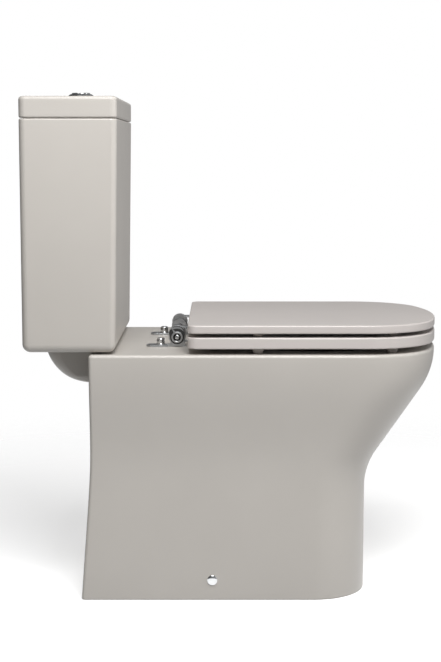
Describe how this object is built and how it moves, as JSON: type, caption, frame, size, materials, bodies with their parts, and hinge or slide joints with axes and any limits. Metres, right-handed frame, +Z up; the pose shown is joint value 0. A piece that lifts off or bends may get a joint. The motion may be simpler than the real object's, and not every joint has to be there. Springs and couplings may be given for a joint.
{
  "type": "close coupled toilet",
  "caption": "Close coupled toilet with an open-back skirted pan, a cistern with a dual flush button, and a hinged seat ring and lid.",
  "frame": {"origin": "on the floor, midway across the overall width and depth", "axes": "+Z up, -Y towards the front of the pan, +X towards the right side for somebody who stands in front and faces the cistern"},
  "size_m": [0.3722, 0.6707, 0.8136],
  "materials": {
    "glaze": "satin warm grey glaze",
    "seat_plastic": "satin moulded thermoset",
    "buffer_plastic": "soft matt",
    "chrome": "polished",
    "steel": "zinc plated",
    "rubber": "matt",
    "white_plastic": "moulded",
    "grey_plastic": "moulded"
  },
  "bodies": {
    "toilet": {"pan": "glaze", "cistern": "glaze", "flush_valve_base": "white_plastic", "flush_valve_gasket": "rubber", "flush_valve_tower": "white_plastic", "cistern_base_washer": "rubber", "coupling_plate": "steel", "coupling_bolts": "steel", "coupling_washers": "rubber", "coupling_wing_nuts": "steel", "flush_valve_backnut": "grey_plastic", "doughnut_washer": "rubber", "fill_valve_gasket": "rubber", "fill_valve_body": "white_plastic", "fill_valve_backnut": "grey_plastic", "fill_valve_washer": "rubber", "hinge_base_left": "chrome", "hinge_base_right": "chrome", "hinge_pins": "chrome", "hinge_bolts": "chrome", "hinge_washers": "rubber", "hinge_wing_nuts": "white_plastic", "floor_brackets": "white_plastic", "side_screws": "steel", "fixing_caps": "chrome"},
    "lid": {"seat_lid": "seat_plastic", "lid_buffers": "buffer_plastic", "lid_strap_left": "chrome", "lid_strap_right": "chrome", "lid_strap_screws": "steel"},
    "ring": {"seat_ring": "seat_plastic", "ring_buffers": "buffer_plastic", "ring_strap_left": "chrome", "ring_strap_right": "chrome", "ring_strap_screws": "steel"},
    "cistern_cover": {"cistern_lid": "glaze", "button_bezel": "chrome", "button_locknut": "grey_plastic"},
    "full_push": {"full_flush_button": "chrome", "full_push_rod": "grey_plastic"},
    "half_push": {"half_flush_button": "chrome", "half_push_rod": "grey_plastic"},
    "valve_lift": {"overflow_tube": "white_plastic", "flush_valve_seal": "rubber"},
    "float": {"fill_valve_float": "white_plastic"}
  },
  "joints": [
    {"name": "lid_hinge", "type": "hinge", "parent": "toilet", "child": "lid", "pos_m": [0, 0.0954, 0.416], "axis": [-1, 0, 0], "range_deg": [0, 97]},
    {"name": "seat_ring_hinge", "type": "hinge", "parent": "toilet", "child": "ring", "pos_m": [0, 0.0954, 0.416], "axis": [-1, 0, 0], "range_deg": [0, 92.15]},
    {"name": "cistern_lid_lift", "type": "slide", "parent": "toilet", "child": "cistern_cover", "axis": [0, 0, 1], "range_m": [0, 0.15]},
    {"name": "full_flush_press", "type": "slide", "parent": "cistern_cover", "child": "full_push", "axis": [0, 0, -1], "range_m": [0, 0.008], "stiffness_N_per_m": 350, "springref_m": -0.004},
    {"name": "half_flush_press", "type": "slide", "parent": "cistern_cover", "child": "half_push", "axis": [0, 0, -1], "range_m": [0, 0.008], "stiffness_N_per_m": 350, "springref_m": -0.004},
    {"name": "flush_valve_lift", "type": "slide", "parent": "toilet", "child": "valve_lift", "axis": [0, 0, 1], "range_m": [0, 0.012]},
    {"name": "float_rise", "type": "slide", "parent": "toilet", "child": "float", "axis": [0, 0, 1], "range_m": [0, 0.035]}
  ],
  "couplings": [
    {"joint": "seat_ring_hinge", "follows": "lid_hinge", "ratio": 0.95},
    {"joint": "flush_valve_lift", "follows": "full_flush_press", "ratio": 1.5}
  ]
}
